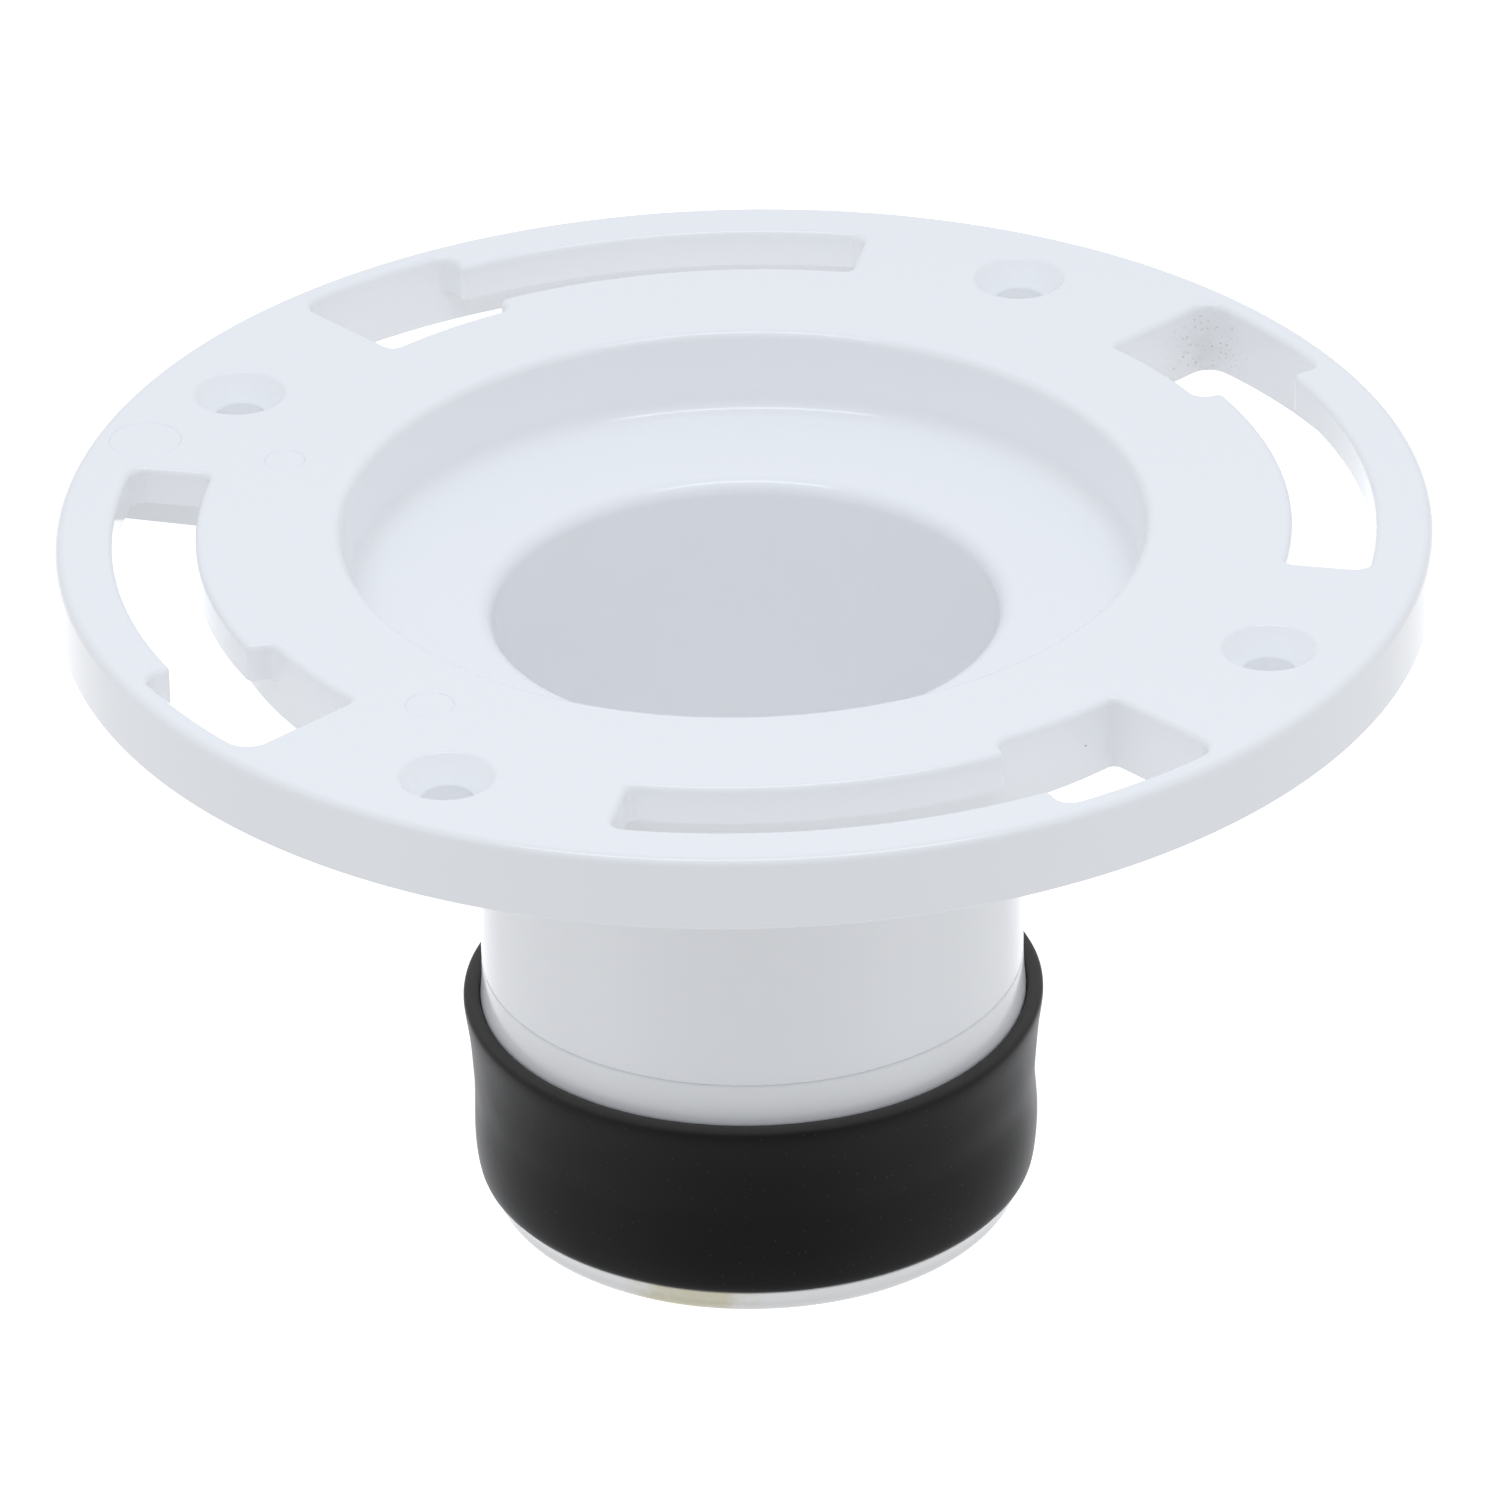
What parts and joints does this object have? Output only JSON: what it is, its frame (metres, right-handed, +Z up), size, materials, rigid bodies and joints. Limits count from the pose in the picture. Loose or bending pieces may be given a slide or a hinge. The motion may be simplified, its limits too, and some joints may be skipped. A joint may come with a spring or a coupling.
{
  "type": "toilet flange",
  "caption": "Twist-to-set closet flange: white plate with keyhole bolt slots and wax-ring bowl over a tube with a rubber sleeve that swells in the drain pipe.",
  "frame": {"origin": "centre of the flange plate's underside, where it meets the floor, on the drain's axis", "axes": "+Z up out of the drain, towards the toilet; the plate's four keyhole slots lie near +X, +Y, -X and -Y"},
  "size_m": [0.1778, 0.1778, 0.0993],
  "materials": {
    "pvc_white": "satin-gloss white moulded PVC",
    "rubber": "matt black rubber with a dull sheen"
  },
  "bodies": {
    "plate": {"flange": "pvc_white"},
    "seal": {"slip_ring": "pvc_white", "rubber_sleeve": "rubber"},
    "collar": {"collar": "pvc_white"}
  },
  "joints": [
    {"name": "twist", "type": "hinge", "parent": "plate", "child": "seal", "pos_m": [0, 0, -0.06], "axis": [0, 0, 1], "range_deg": [0, 540]},
    {"name": "draw_up", "type": "slide", "parent": "seal", "child": "collar", "axis": [0, 0, 1], "range_m": [0, 0.006], "deforming": ["rubber_sleeve"]}
  ],
  "couplings": [
    {"joint": "draw_up", "follows": "twist", "m_per_rad": 0.00063662}
  ]
}
